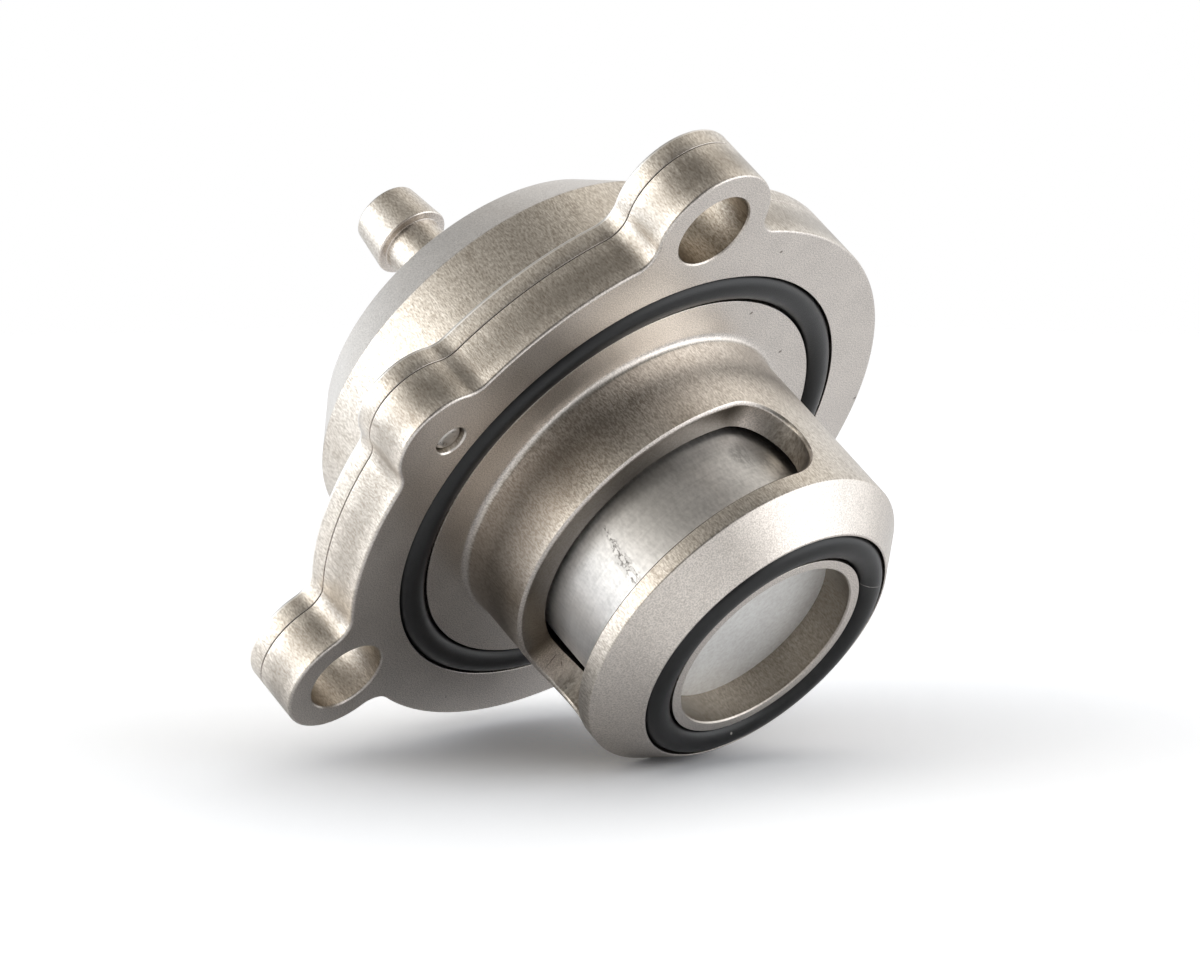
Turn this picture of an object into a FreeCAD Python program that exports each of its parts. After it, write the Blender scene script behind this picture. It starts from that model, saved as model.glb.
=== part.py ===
import FreeCAD, Part
import math
import os

# Blow-off valve with a three-bolt flange, in millimetres.
# The origin is the centre of the flange's mounting face. +Z points from the nose towards the hose nipple.
# The side window and the small retaining ear face -Y.

# Bore, barrel and nose
bore_r = 12.0
barrel_wall = 2.43
barrel_foot_fillet = 0.4
nose_length = 19.0
nose_seat_t = 3.0
nose_bevel_h = 2.9
nose_lip = 0.15
inlet_r = 7.9
inlet_land = 0.9

# Side window
window_h = 7.6
window_sill = 1.45
window_half_deg = 63.0

# Flange plate
flange_t = 3.9
flange_inner_land = 3.67
flange_outer_land = 4.4
bolt_count = 3
bolt_circle_r = 26.2
bolt_hole_r = 3.2
bolt_ear_wall = 2.1
ear_fillet_r = 2.0
first_bolt_deg = 90.0
edge_break = 0.25

# Rings in the two faces
flange_ring_section = 2.4
nose_ring_section = 2.4
ring_side_gap = 0.05
ring_stand_out = 0.5

# Cap
cap_flange_t = 1.7
cap_length = 14.7
cap_bevel_w = 3.5
cap_bevel_h = 4.5
cap_end_wall = 2.6
cap_shell_land = 0.7
spigot_wall = 2.5
spigot_length = 2.3
spigot_gap = 0.05
cap_ring_section = 1.5
cap_ring_wall = 1.2
cap_ring_squeeze = 0.35

# Hose nipple
nipple_neck_r = 2.5
nipple_neck_length = 10.1
nipple_barb_r = 3.22
nipple_barb_length = 3.7
nipple_barb_break = 0.3
nipple_tip_r = 2.77
nipple_bore_r = 1.4

# Piston and its seal
piston_travel = 9.0
piston_side_gap = 0.5
piston_band_gap = 0.05
piston_band_h = 6.2
piston_wall = 1.1
piston_face_t = 2.3
piston_rear_gap = 0.4
piston_ring_section = 1.7
piston_ring_gap = 0.03
piston_ring_root_gap = 0.02
piston_ring_setback = 2.2

# Spring
spring_wire = 1.4
spring_side_gap = 0.55
spring_turns = 7.0

# Retaining screw and its small ear
screw_ear_deg = -90.0
screw_ear_r = 4.6
screw_inset = 1.7
screw_r = 1.5
screw_thread_depth = 0.25
screw_head_r = 2.85
screw_head_rim = 0.25
screw_sink_land = 0.235
screw_clear_gap = 0.2
screw_tip_depth = 0.5
screw_tip_round = 0.45
hex_socket_af = 2.0
hex_socket_depth = 1.0

# How far every cut runs past the material
run_out = 1.0

# Barrel, grooves and window, from the bore outwards
barrel_r = bore_r + barrel_wall
nose_z = -nose_length
seat_z = nose_z + nose_seat_t
window_low_z = seat_z + window_sill
window_high_z = window_low_z + window_h
flange_ring_half = flange_ring_section / 2.0 + ring_side_gap
nose_ring_half = nose_ring_section / 2.0 + ring_side_gap
flange_ring_mid_r = barrel_r + flange_inner_land + flange_ring_half
nose_ring_mid_r = inlet_r + inlet_land + nose_ring_half
nose_r = nose_ring_mid_r + nose_ring_half + nose_lip
flange_r = flange_ring_mid_r + flange_ring_half + flange_outer_land
bolt_ear_r = bolt_hole_r + bolt_ear_wall
screw_circle_r = flange_r - screw_inset
screw_core_r = screw_r - screw_thread_depth

# Cap and spigot, from the body's rear face
cap_front_z = flange_t
cap_ear_z = cap_front_z + cap_flange_t
cap_back_z = cap_front_z + cap_length
cap_shoulder_z = cap_back_z - cap_bevel_h
cap_inner_z = cap_back_z - cap_end_wall
spigot_r = bore_r + spigot_wall
spigot_end_z = cap_front_z - spigot_length
counterbore_r = spigot_r + spigot_gap
counterbore_z = spigot_end_z - spigot_gap
cap_ring_inner_r = counterbore_r + edge_break + cap_ring_wall
cap_ring_outer_r = cap_ring_inner_r + cap_ring_section + 2.0 * ring_side_gap
cap_ring_depth = cap_ring_section - cap_ring_squeeze
cap_r = cap_ring_outer_r + cap_shell_land
cap_back_r = cap_r - cap_bevel_w
nipple_barb_z = cap_back_z + nipple_neck_length
nipple_tip_z = nipple_barb_z + nipple_barb_length

# Piston and spring, from the bore, the seat and the cap's end wall
piston_skirt_r = bore_r - piston_side_gap
piston_band_r = bore_r - piston_band_gap
piston_rear_z = cap_inner_z - piston_rear_gap - piston_travel
piston_ring_r = bore_r - piston_ring_gap
piston_ring_mid_r = piston_ring_r - piston_ring_section / 2.0
piston_ring_root_r = piston_ring_r - piston_ring_section - piston_ring_root_gap
piston_ring_z = piston_rear_z - piston_ring_setback
piston_inside_r = piston_ring_root_r - piston_wall
spring_low_z = seat_z + piston_face_t
spring_mid_r = piston_inside_r - spring_side_gap - spring_wire / 2.0


def vec(x, y, z):
    return FreeCAD.Vector(x, y, z)


def polar(radius, degrees, z=0.0):
    turn = math.radians(degrees)
    return vec(radius * math.cos(turn), radius * math.sin(turn), z)


def disc(radius, low, high, x=0.0, y=0.0):
    return Part.makeCylinder(radius, high - low, vec(x, y, low))


def tube(inner, outer, low, high):
    return disc(outer, low, high).cut(disc(inner, low - run_out, high + run_out))


def turned(points):
    """Solid of revolution about Z from a closed outline of (radius, height) points."""
    corners = [vec(radius, 0.0, height) for radius, height in points]
    wire = Part.makePolygon(corners + [corners[0]])
    return Part.Face(wire).revolve(vec(0, 0, 0), vec(0, 0, 1), 360.0)


def turned_edges(edges):
    """Solid of revolution about Z from edges that close in the XZ plane."""
    return Part.Face(Part.Wire(edges)).revolve(vec(0, 0, 0), vec(0, 0, 1), 360.0)


def line(start, end):
    return Part.LineSegment(start, end).toShape()


def arc(start, middle, end):
    return Part.Arc(start, middle, end).toShape()


def bolt_degrees():
    return [first_bolt_deg + 360.0 * index / bolt_count for index in range(bolt_count)]


def ear_list():
    """Ears in turning order: angle, distance of the centre and radius of each."""
    ears = [(angle % 360.0, bolt_circle_r, bolt_ear_r) for angle in bolt_degrees()]
    ears.append((screw_ear_deg % 360.0, screw_circle_r, screw_ear_r))
    return sorted(ears)


def ear_points(angle, distance, radius):
    """Points along one ear: hollow fillet, round end, hollow fillet."""
    reach = flange_r + ear_fillet_r
    cosine = (reach**2 + distance**2 - (radius + ear_fillet_r) ** 2) / (2.0 * reach * distance)
    offset = math.degrees(math.acos(cosine))
    centre = polar(distance, angle)
    points = []
    for side in (-1.0, 1.0):
        hollow = polar(reach, angle + side * offset)
        foot = polar(flange_r, angle + side * offset)
        to_ear = (centre - hollow).normalize() * ear_fillet_r
        to_foot = (foot - hollow).normalize() * ear_fillet_r
        middle = hollow + (to_ear + to_foot).normalize() * ear_fillet_r
        trio = [foot, middle, hollow + to_ear]
        points.append(trio if side < 0 else trio[::-1])
    tip = polar(distance + radius, angle)
    return points[0], tip, points[1], offset


def plate_outline():
    """Closed outline of the flange plate at height zero, a circle with ears."""
    ears = ear_list()
    shaped = [ear_points(*ear) for ear in ears]
    edges = []
    for index, (entry, tip, leave, offset) in enumerate(shaped):
        edges.append(arc(*entry))
        edges.append(arc(entry[2], tip, leave[0]))
        edges.append(arc(*leave))
        here = ears[index][0] + offset
        following = (index + 1) % len(ears)
        there = ears[following][0] - shaped[following][3]
        if there < here:
            there += 360.0
        edges.append(arc(leave[2], polar(flange_r, (here + there) / 2.0), shaped[following][0][0]))
    return Part.Wire(edges)


def plate(low, high, broken_z):
    """Flange plate between two heights, with the outline's edge broken at one of them."""
    wire = plate_outline()
    wire.translate(vec(0, 0, low))
    solid = Part.Face(wire).extrude(vec(0, 0, high - low))
    rim = [edge for edge in solid.Edges if abs(edge.BoundBox.ZMin - broken_z) < 1e-6]
    rim = [edge for edge in rim if edge.BoundBox.ZLength < 1e-6]
    return solid.makeChamfer(edge_break, rim)


def mouth(radius, z, inward, x, y):
    """Cone that breaks the mouth of a hole at height z. inward is +1 where the hole runs up."""
    tip = z + inward * edge_break
    over = z - inward * edge_break
    wide = radius + 2.0 * edge_break
    return Part.makeCone(radius, wide, 2.0 * edge_break, vec(x, y, tip), vec(0, 0, over - tip))


def window_cutter():
    """Side window: an arc slot with round ends, as a radially fed end mill leaves it."""
    band = tube(bore_r - run_out, barrel_r + run_out, window_low_z, window_high_z)
    reach = 3.0 * barrel_r
    start = screw_ear_deg - window_half_deg
    end = screw_ear_deg + window_half_deg
    floor = window_low_z - run_out
    corners = [vec(0, 0, floor), polar(reach, start, floor)]
    corners += [polar(reach, screw_ear_deg, floor), polar(reach, end, floor)]
    wedge = Part.Face(Part.makePolygon(corners + [corners[0]])).extrude(vec(0, 0, window_h + 2.0 * run_out))
    cutter = band.common(wedge)
    inner = bore_r / 2.0
    mid_z = (window_low_z + window_high_z) / 2.0
    for angle in (start, end):
        mill = Part.makeCylinder(
            window_h / 2.0, barrel_r + run_out - inner, polar(inner, angle, mid_z), polar(1.0, angle)
        )
        cutter = cutter.fuse(mill)
    return cutter.removeSplitter()


def barrel_shell():
    """Outside of the barrel and nose, turned as one piece with its small foot fillet."""
    fillet = barrel_foot_fillet
    turn = math.radians(45.0)
    corner = vec(barrel_r + fillet, 0, -fillet)
    middle = corner + vec(-fillet * math.cos(turn), 0, fillet * math.sin(turn))
    inside = flange_t / 2.0
    corners = [vec(0, 0, inside), vec(0, 0, nose_z), vec(nose_r, 0, nose_z)]
    corners += [vec(barrel_r, 0, nose_z + nose_bevel_h), vec(barrel_r, 0, -fillet)]
    edges = [line(corners[index], corners[index + 1]) for index in range(len(corners) - 1)]
    foot = vec(barrel_r + fillet, 0, 0)
    edges.append(arc(corners[-1], middle, foot))
    edges.append(line(foot, vec(foot.x, 0, inside)))
    edges.append(line(vec(foot.x, 0, inside), corners[0]))
    return turned_edges(edges)


def body_bore():
    """Everything that is bored out along the axis: inlet, piston bore and counterbore."""
    over = flange_t + run_out
    points = [(0, nose_z - run_out), (inlet_r + edge_break + run_out, nose_z - run_out)]
    points += [(inlet_r, nose_z + edge_break), (inlet_r, seat_z), (bore_r, seat_z)]
    points += [(bore_r, counterbore_z), (counterbore_r, counterbore_z)]
    points += [(counterbore_r, flange_t - edge_break), (counterbore_r + edge_break, flange_t)]
    points += [(counterbore_r + edge_break, over), (0, over)]
    return turned(points)


def face_groove(mid_r, half, section, face_z):
    """Square groove that runs up from a face that looks down."""
    return tube(mid_r - half, mid_r + half, face_z - run_out, face_z + section - ring_stand_out)


def window_rim(solid):
    """Edges where the side window meets the outside of the barrel."""
    rim = []
    near = 1e-4
    for edge in solid.Edges:
        span = edge.LastParameter - edge.FirstParameter
        spots = [edge.valueAt(edge.FirstParameter + span * share) for share in (0.0, 0.5, 1.0)]
        on_barrel = all(abs(math.hypot(spot.x, spot.y) - barrel_r) < near for spot in spots)
        in_window = all(window_low_z - near < spot.z < window_high_z + near for spot in spots)
        if on_barrel and in_window:
            rim.append(edge)
    return rim


def valve_body():
    solid = plate(0.0, flange_t, 0.0).fuse(barrel_shell())
    solid = solid.cut(body_bore())
    solid = solid.cut(face_groove(flange_ring_mid_r, flange_ring_half, flange_ring_section, 0.0))
    solid = solid.cut(face_groove(nose_ring_mid_r, nose_ring_half, nose_ring_section, nose_z))
    solid = solid.cut(window_cutter())
    for angle in bolt_degrees():
        spot = polar(bolt_circle_r, angle)
        solid = solid.cut(disc(bolt_hole_r, -run_out, flange_t + run_out, spot.x, spot.y))
        solid = solid.cut(mouth(bolt_hole_r, 0.0, 1.0, spot.x, spot.y))
    spot = polar(screw_circle_r, screw_ear_deg)
    solid = solid.cut(disc(screw_core_r, -run_out, flange_t + run_out, spot.x, spot.y))
    solid = solid.cut(mouth(screw_core_r, 0.0, 1.0, spot.x, spot.y))
    solid = solid.removeSplitter()
    return solid.makeChamfer(edge_break, window_rim(solid))


def screw_head_points(gap):
    """Outline of the countersunk head and its shank, grown sideways by a gap."""
    top = cap_ear_z
    points = [(0, top), (screw_head_r + gap, top), (screw_head_r + gap, top - screw_head_rim)]
    points += [(screw_r + gap, cap_front_z + screw_sink_land), (screw_r + gap, cap_front_z)]
    return points


def screw_sink():
    """Countersunk clearance hole for the retaining screw, at the axis."""
    points = screw_head_points(screw_clear_gap)
    points[0] = (0, cap_ear_z + run_out)
    points[1] = (points[1][0], cap_ear_z + run_out)
    points[-1] = (points[-1][0], cap_front_z - run_out)
    return turned(points + [(0, cap_front_z - run_out)])


def rear_cap():
    solid = plate(cap_front_z, cap_ear_z, cap_ear_z)
    solid = solid.fuse(disc(cap_r, cap_front_z, cap_shoulder_z))
    cone = Part.makeCone(cap_r, cap_back_r, cap_bevel_h, vec(0, 0, cap_shoulder_z))
    solid = solid.fuse(cone).fuse(disc(spigot_r, spigot_end_z, cap_front_z + cap_flange_t / 2.0))
    lead = edge_break
    bore = [(0, spigot_end_z - run_out), (bore_r + lead, spigot_end_z - run_out)]
    bore += [(bore_r + lead, spigot_end_z), (bore_r, spigot_end_z + lead)]
    bore += [(bore_r, cap_inner_z), (0, cap_inner_z)]
    solid = solid.cut(turned(bore))
    solid = solid.cut(disc(nipple_neck_r, cap_inner_z - run_out, cap_back_z + run_out))
    ring_top = cap_front_z + cap_ring_depth
    solid = solid.cut(tube(cap_ring_inner_r, cap_ring_outer_r, cap_front_z - run_out, ring_top))
    for angle in bolt_degrees():
        spot = polar(bolt_circle_r, angle)
        solid = solid.cut(disc(bolt_hole_r, cap_front_z - run_out, cap_ear_z + run_out, spot.x, spot.y))
    sink = screw_sink()
    sink.translate(polar(screw_circle_r, screw_ear_deg))
    return solid.cut(sink).removeSplitter()


def vacuum_nipple():
    """Turned stub with one barb, pressed into the cap's end wall."""
    under = nipple_barb_z - nipple_barb_break
    points = [(nipple_bore_r, cap_inner_z), (nipple_neck_r, cap_inner_z), (nipple_neck_r, under)]
    points += [(nipple_barb_r - nipple_barb_break, under), (nipple_barb_r, nipple_barb_z)]
    points += [(nipple_tip_r, nipple_tip_z), (nipple_bore_r, nipple_tip_z)]
    return turned(points)


def seal_ring(mid_r, section, z):
    return Part.makeTorus(mid_r, section / 2.0, vec(0, 0, z))


def flange_oring():
    return seal_ring(flange_ring_mid_r, flange_ring_section, flange_ring_section / 2.0 - ring_stand_out)


def nose_oring():
    return seal_ring(nose_ring_mid_r, nose_ring_section, nose_z + nose_ring_section / 2.0 - ring_stand_out)


def cap_oring():
    """Ring squeezed flat between the cap's groove and the body."""
    mid_r = (cap_ring_inner_r + cap_ring_outer_r) / 2.0
    ring = seal_ring(mid_r, cap_ring_section, cap_front_z + cap_ring_depth / 2.0)
    squeezed = tube(cap_ring_inner_r, cap_ring_outer_r, cap_front_z, cap_front_z + cap_ring_depth)
    return ring.common(squeezed)


def piston():
    """Thin cup with a closed face at the nose and a wider guide band at the rear."""
    band_low = piston_rear_z - piston_band_h
    step = piston_band_r - piston_skirt_r
    edge = edge_break
    half = piston_ring_section / 2.0 + ring_side_gap
    root = piston_ring_root_r
    points = [(0, seat_z), (piston_skirt_r - edge, seat_z), (piston_skirt_r, seat_z + edge)]
    points += [(piston_skirt_r, band_low - step), (piston_band_r, band_low)]
    points += [(piston_band_r, piston_ring_z - half), (root, piston_ring_z - half)]
    points += [(root, piston_ring_z + half), (piston_band_r, piston_ring_z + half)]
    points += [(piston_band_r, piston_rear_z - edge), (piston_band_r - edge, piston_rear_z)]
    points += [(piston_inside_r, piston_rear_z), (piston_inside_r, spring_low_z), (0, spring_low_z)]
    return turned(points)


def piston_seal():
    return seal_ring(piston_ring_mid_r, piston_ring_section, piston_ring_z)


def spring():
    """Coil spring with flat ground ends between the piston face and the cap's end wall."""
    length = cap_inner_z - spring_low_z
    pitch = length / spring_turns
    helix = Part.makeHelix(pitch, length + pitch, spring_mid_r)
    along = vec(0, spring_mid_r, pitch / (2.0 * math.pi))
    section = Part.Wire([Part.makeCircle(spring_wire / 2.0, vec(spring_mid_r, 0, 0), along)])
    coil = Part.Wire(helix.Edges).makePipeShell([section], True, True)
    coil.translate(vec(0, 0, spring_low_z - pitch / 2.0))
    sleeve = tube(spring_mid_r - spring_wire, spring_mid_r + spring_wire, spring_low_z, cap_inner_z)
    return coil.common(sleeve)


def cap_screw():
    """Countersunk socket screw that keeps cap and body together."""
    tip = screw_tip_depth
    rounding = screw_tip_round
    points = screw_head_points(0.0)
    points += [(screw_core_r, cap_front_z), (screw_core_r, tip + rounding)]
    points += [(screw_core_r - rounding / 2.0, tip + rounding / 4.0), (screw_core_r / 2.0, tip), (0, tip)]
    solid = turned(points)
    corners = [polar(hex_socket_af / math.sqrt(3.0), 60.0 * side) for side in range(6)]
    prism = Part.Face(Part.makePolygon(corners + [corners[0]]))
    socket = prism.extrude(vec(0, 0, hex_socket_depth + run_out))
    socket.translate(vec(0, 0, cap_ear_z - hex_socket_depth))
    solid = solid.cut(socket)
    solid.translate(polar(screw_circle_r, screw_ear_deg))
    return solid


def one_solid(shape):
    return shape.Solids[0] if len(shape.Solids) == 1 else shape


def main():
    makers = {
        "valve_body": valve_body,
        "rear_cap": rear_cap,
        "vacuum_nipple": vacuum_nipple,
        "flange_oring": flange_oring,
        "nose_oring": nose_oring,
        "cap_oring": cap_oring,
        "cap_screw": cap_screw,
        "piston": piston,
        "piston_seal": piston_seal,
        "spring": spring,
    }
    os.makedirs("parts", exist_ok=True)
    for name, maker in makers.items():
        shape = one_solid(maker())
        shape.exportStep("parts/" + name + ".step")
        box = shape.BoundBox
        size = "%.2f x %.2f x %.2f" % (box.XLength, box.YLength, box.ZLength)
        print(name, len(shape.Solids), "valid" if shape.isValid() else "INVALID", size, "vol %.1f" % shape.Volume)


main()
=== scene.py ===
"""Flange-mounted blow-off valve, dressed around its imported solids.

Every piece is made in millimetres at its own place, then brought to metres at the origin.
"""

import math

import bpy
from bpy.props import FloatProperty, FloatVectorProperty, IntProperty, PointerProperty
from mathutils import Matrix, Vector


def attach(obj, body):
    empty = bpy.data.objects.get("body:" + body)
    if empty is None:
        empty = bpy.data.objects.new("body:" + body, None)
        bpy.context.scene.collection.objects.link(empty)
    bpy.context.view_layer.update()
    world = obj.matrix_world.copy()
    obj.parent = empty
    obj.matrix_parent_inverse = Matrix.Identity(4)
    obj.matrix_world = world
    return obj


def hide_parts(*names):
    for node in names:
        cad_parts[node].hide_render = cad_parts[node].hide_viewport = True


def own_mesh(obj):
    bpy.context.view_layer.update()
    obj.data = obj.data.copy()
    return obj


bl_info = {
    "name": "Blow-off Valve",
    "version": (1, 0, 0),
    "blender": (4, 5, 0),
    "location": "View3D > Sidebar > Valve",
    "description": "Builds the body, cap, seals, piston and stage of a flange-mounted blow-off valve",
    "category": "Object",
}

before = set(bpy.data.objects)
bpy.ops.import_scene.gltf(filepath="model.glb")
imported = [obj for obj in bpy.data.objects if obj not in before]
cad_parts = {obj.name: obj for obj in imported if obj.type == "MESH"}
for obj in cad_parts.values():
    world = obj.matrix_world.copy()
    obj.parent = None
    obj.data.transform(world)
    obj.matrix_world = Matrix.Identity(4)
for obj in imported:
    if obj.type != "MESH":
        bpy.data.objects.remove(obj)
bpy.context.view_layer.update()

MM = 1000.0
FULL_TURN = 2.0 * math.pi

# How finely round forms are drawn: steps round a large turned piece, a hole or the screw, the nipple, a
# tapped hole, along a rounded corner, round a rubber ring's section, round the spring's wire and its turn.
TURNED_STEPS = 288
HOLE_STEPS = 96
NIPPLE_STEPS = 128
TAPPED_STEPS = 64
CORNER_STEPS = 4
SECTION_STEPS = 48
WIRE_STEPS = 24
COIL_STEPS = 48

# In millimetres: vertices this near are one, heights this near are level, the flange's outline has a point
# this often, and a cutter runs this far past the metal.
NEAR = 0.0005
LEVEL = 0.0001
OUTLINE_SPACING = 0.28
OVER = 1.0

# The screw's head in millimetres: the foot of its cone above the joint, the straight rim, the room round it.
HEAD_FOOT = 0.235
HEAD_RIM = 0.25
HEAD_ROOM = 0.2

SMOOTH_UP_TO = math.radians(35.0)


def length(name, default, description):
    return FloatProperty(
        name=name, description=description, default=default, min=0.0, unit="LENGTH", precision=5
    )


def bearing(name, degrees, description):
    return FloatProperty(name=name, description=description, default=math.radians(degrees), unit="ROTATION")


def gain(name, default, description):
    return FloatProperty(name=name, description=description, default=default, min=0.0, subtype="FACTOR")


def swatch(name, default, description):
    return FloatVectorProperty(
        name=name, description=description, default=default, subtype="COLOR", min=0.0, max=1.0
    )


class ValveSizes(bpy.types.PropertyGroup):
    """Sizes of the valve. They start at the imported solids' own sizes."""

    bore_r: length("Bore radius", 0.012, "Bore that the piston slides in")
    barrel_r: length("Barrel radius", 0.01443, "Outside of the barrel below the flange")
    foot_fillet: length("Foot fillet", 0.0006, "Hollow fillet between barrel and flange face")
    nose_length: length("Nose length", 0.019, "From the flange face to the nose face")
    seat_t: length("Seat thickness", 0.003, "Nose wall in front of the piston")
    nose_r: length("Nose face radius", 0.01145, "Outer radius of the nose face inside its bevel")
    bevel_h: length("Nose bevel height", 0.0029, "Height of the bevel round the nose")
    inlet_r: length("Inlet radius", 0.0079, "Inlet in the nose")
    window_h: length("Window height", 0.0076, "Height of the side window")
    window_sill: length("Window sill", 0.00145, "From the piston seat to the window's lower edge")
    flange_r: length("Flange radius", 0.025, "Flange without its ears")
    flange_t: length("Flange thickness", 0.0039, "Body's share of the flange")
    bolt_circle_r: length("Bolt circle radius", 0.0262, "Centres of the three bolt holes")
    bolt_hole_r: length("Bolt hole radius", 0.0032, "Clearance hole for a mounting bolt")
    bolt_ear_r: length("Bolt ear radius", 0.0053, "Round end of a bolt ear")
    screw_circle_r: length("Screw circle radius", 0.0233, "Centre of the retaining screw")
    screw_ear_r: length("Screw ear radius", 0.0046, "Round end of the screw's ear")
    ear_fillet_r: length("Ear fillet radius", 0.002, "Hollow fillet between ear and flange")
    edge_break: length("Edge break", 0.00025, "Broken edge round the flange")
    hole_break: length("Hole break", 0.00012, "Broken edge at the mouths of the flange's holes")
    groove_lip: length("Groove lip", 0.00002, "Broken edge at the mouths of the ring grooves")
    seam_break: length("Seam break", 0.00005, "Edge break on both sides of the joint line")
    joint_gap: length("Joint groove width", 0.00007, "Fine groove between body and cap at the flange's rim")
    joint_inset: length("Joint groove depth", 0.0004, "Depth of the fine groove")
    flange_ring_mid_r: length("Flange ring radius", 0.01935, "Middle of the ring in the flange face")
    nose_ring_mid_r: length("Nose ring radius", 0.01005, "Middle of the ring in the nose")
    ring_section: length("Ring section", 0.0024, "Thickness of both face rings")
    ring_side_gap: length("Ring side gap", 0.00005, "Gap on each side of a ring in its groove")
    ring_stand_out: length("Ring stand-out", 0.0005, "How far a ring stands out of its groove")
    cap_flange_t: length("Cap flange thickness", 0.0017, "Cap's share of the flange")
    cap_r: length("Cap radius", 0.0183, "Cap's cylinder")
    cap_back_r: length("Cap back radius", 0.0148, "Flat back inside the cap's bevel")
    cap_shoulder_z: length("Cap shoulder height", 0.0141, "Where the cap's bevel begins")
    cap_back_z: length("Cap back height", 0.0186, "Flat back of the cap")
    cap_inner_z: length("Cap cavity height", 0.016, "Roof of the spring chamber")
    spigot_r: length("Spigot radius", 0.0145, "Cap's spigot in the body")
    spigot_end_z: length("Spigot end height", 0.0016, "Lower end of the cap's spigot")
    spigot_gap: length("Spigot gap", 0.00005, "Gap between spigot and counterbore")
    cap_ring_in_r: length("Cap groove inner radius", 0.016, "Groove for the ring between cap and body")
    cap_ring_out_r: length("Cap groove outer radius", 0.0176, "Groove for the ring between cap and body")
    cap_ring_depth: length("Cap groove depth", 0.00115, "Groove for the ring between cap and body")
    neck_r: length("Nipple neck radius", 0.0025, "Neck of the hose nipple")
    barb_r: length("Nipple barb radius", 0.00322, "Shoulder of the nipple's barb")
    barb_z: length("Nipple barb height", 0.0287, "Where the barb begins")
    tip_r: length("Nipple tip radius", 0.00277, "Outer end of the nipple")
    tip_z: length("Nipple tip height", 0.0324, "Outer end of the nipple")
    nipple_bore_r: length("Nipple bore radius", 0.0014, "Air passage through the nipple")
    skirt_r: length("Piston skirt radius", 0.0115, "Piston seen in the side window")
    band_r: length("Piston band radius", 0.01195, "Guide band at the piston's rear")
    band_h: length("Piston band height", 0.0062, "Guide band at the piston's rear")
    piston_face_t: length("Piston face thickness", 0.0023, "Closed face of the piston")
    piston_rear_z: length("Piston rear height", 0.0066, "Open end of the piston")
    piston_inside_r: length("Piston inside radius", 0.00915, "Inside of the piston")
    piston_root_r: length("Piston groove radius", 0.01025, "Root of the piston's ring groove")
    piston_ring_z: length("Piston ring height", 0.0044, "Middle of the piston's ring")
    piston_ring_mid_r: length("Piston ring radius", 0.01112, "Middle of the piston's ring")
    piston_ring_section: length("Piston ring section", 0.0017, "Thickness of the piston's ring")
    spring_wire: length("Spring wire", 0.0014, "Thickness of the spring's wire")
    spring_mid_r: length("Spring radius", 0.0079, "Middle of the spring's wire")
    spring_gap: length("Spring gap", 0.00002, "Room between the spring's flat end and the piston")
    screw_r: length("Screw radius", 0.0015, "Outside of the screw's thread")
    screw_core_r: length("Screw core radius", 0.00125, "Tapped hole and core of the thread")
    screw_head_r: length("Screw head radius", 0.00285, "Countersunk head")
    screw_tip_depth: length("Screw tip depth", 0.00015, "Screw tip below the flange face")
    hex_af: length("Hex socket width", 0.002, "Socket across its flats")
    hex_depth: length("Hex socket depth", 0.001, "Depth of the socket")
    window_half: bearing("Window half angle", 63.0, "From the window's middle to the centre of a round end")
    first_bolt: bearing("First bolt angle", 90.0, "Angle of the first bolt hole")
    screw_angle: bearing("Screw angle", -90.0, "Angle of the screw ear and of the side window's middle")
    bolt_count: IntProperty(name="Bolt holes", description="Number of bolt ears", default=3, min=2)
    spring_turns: IntProperty(name="Spring turns", description="Turns of the coil", default=7, min=2)


class ValveFinish(bpy.types.PropertyGroup):
    """Colours and gloss of the finishes."""

    housing: swatch("Housing", (0.69, 0.64, 0.595), "Satin plating of body, cap and nipple on turned faces")
    housing_wall: swatch("Housing walls", (0.64, 0.585, 0.52), "The same plating on walls, of coarser grain")
    # Painted shade: the plating made darker where it lies in holes, in the inlet and on the window's wall
    # that looks to the nose.
    bore_shade: swatch("Housing bores", (0.43, 0.375, 0.31), "The same plating in holes, thin and dull")
    housing_rough: gain("Housing roughness", 0.31, "Roughness of the plated metal")
    piston: swatch("Piston", (0.71, 0.695, 0.68), "Bare turned metal of the piston")
    rubber: swatch("Rubber", (0.006, 0.006, 0.0065), "Black rubber of the rings")
    steel: swatch("Steel", (0.52, 0.49, 0.455), "Plain steel of screw and spring")


class StageSettings(bpy.types.PropertyGroup):
    """Camera, floor and light."""

    lens: FloatProperty(
        name="Lens", description="Focal length on a 36 mm sensor", default=141.035, unit="CAMERA"
    )
    floor_r: length("Floor radius", 0.30, "Round patch of floor under the valve")
    floor_colour: swatch("Floor", (0.84, 0.855, 0.885), "Pale floor under the valve")
    shadow_reach: length("Shadow reach", 0.035, "How far the shadow under the valve spreads")
    floor_gain: gain("Floor gain", 1.95, "Lifts the floor to the white background")
    floor_mirrored: gain("Floor mirrored", 1.42, "Floor gain as the metal shows it")


def sizes():
    """The valve's sizes as plain numbers, lengths in millimetres."""
    group = bpy.context.scene.valve_sizes
    found = {}
    for name, prop in group.bl_rna.properties.items():
        if prop.type == "FLOAT":
            value = getattr(group, name)
            found[name] = value if prop.unit == "ROTATION" else value * MM
        elif prop.type == "INT":
            found[name] = getattr(group, name)
    return type("Sizes", (), found)


def nothing_selected():
    if bpy.context.mode != "OBJECT":
        bpy.ops.object.mode_set(mode="OBJECT")
    bpy.ops.object.select_all(action="DESELECT")


def only(piece):
    nothing_selected()
    piece.select_set(True)
    bpy.context.view_layer.objects.active = piece


def edit(piece, select="SELECT"):
    only(piece)
    bpy.ops.object.mode_set(mode="EDIT")
    bpy.ops.mesh.select_all(action=select)


def done():
    bpy.ops.object.mode_set(mode="OBJECT")


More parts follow.
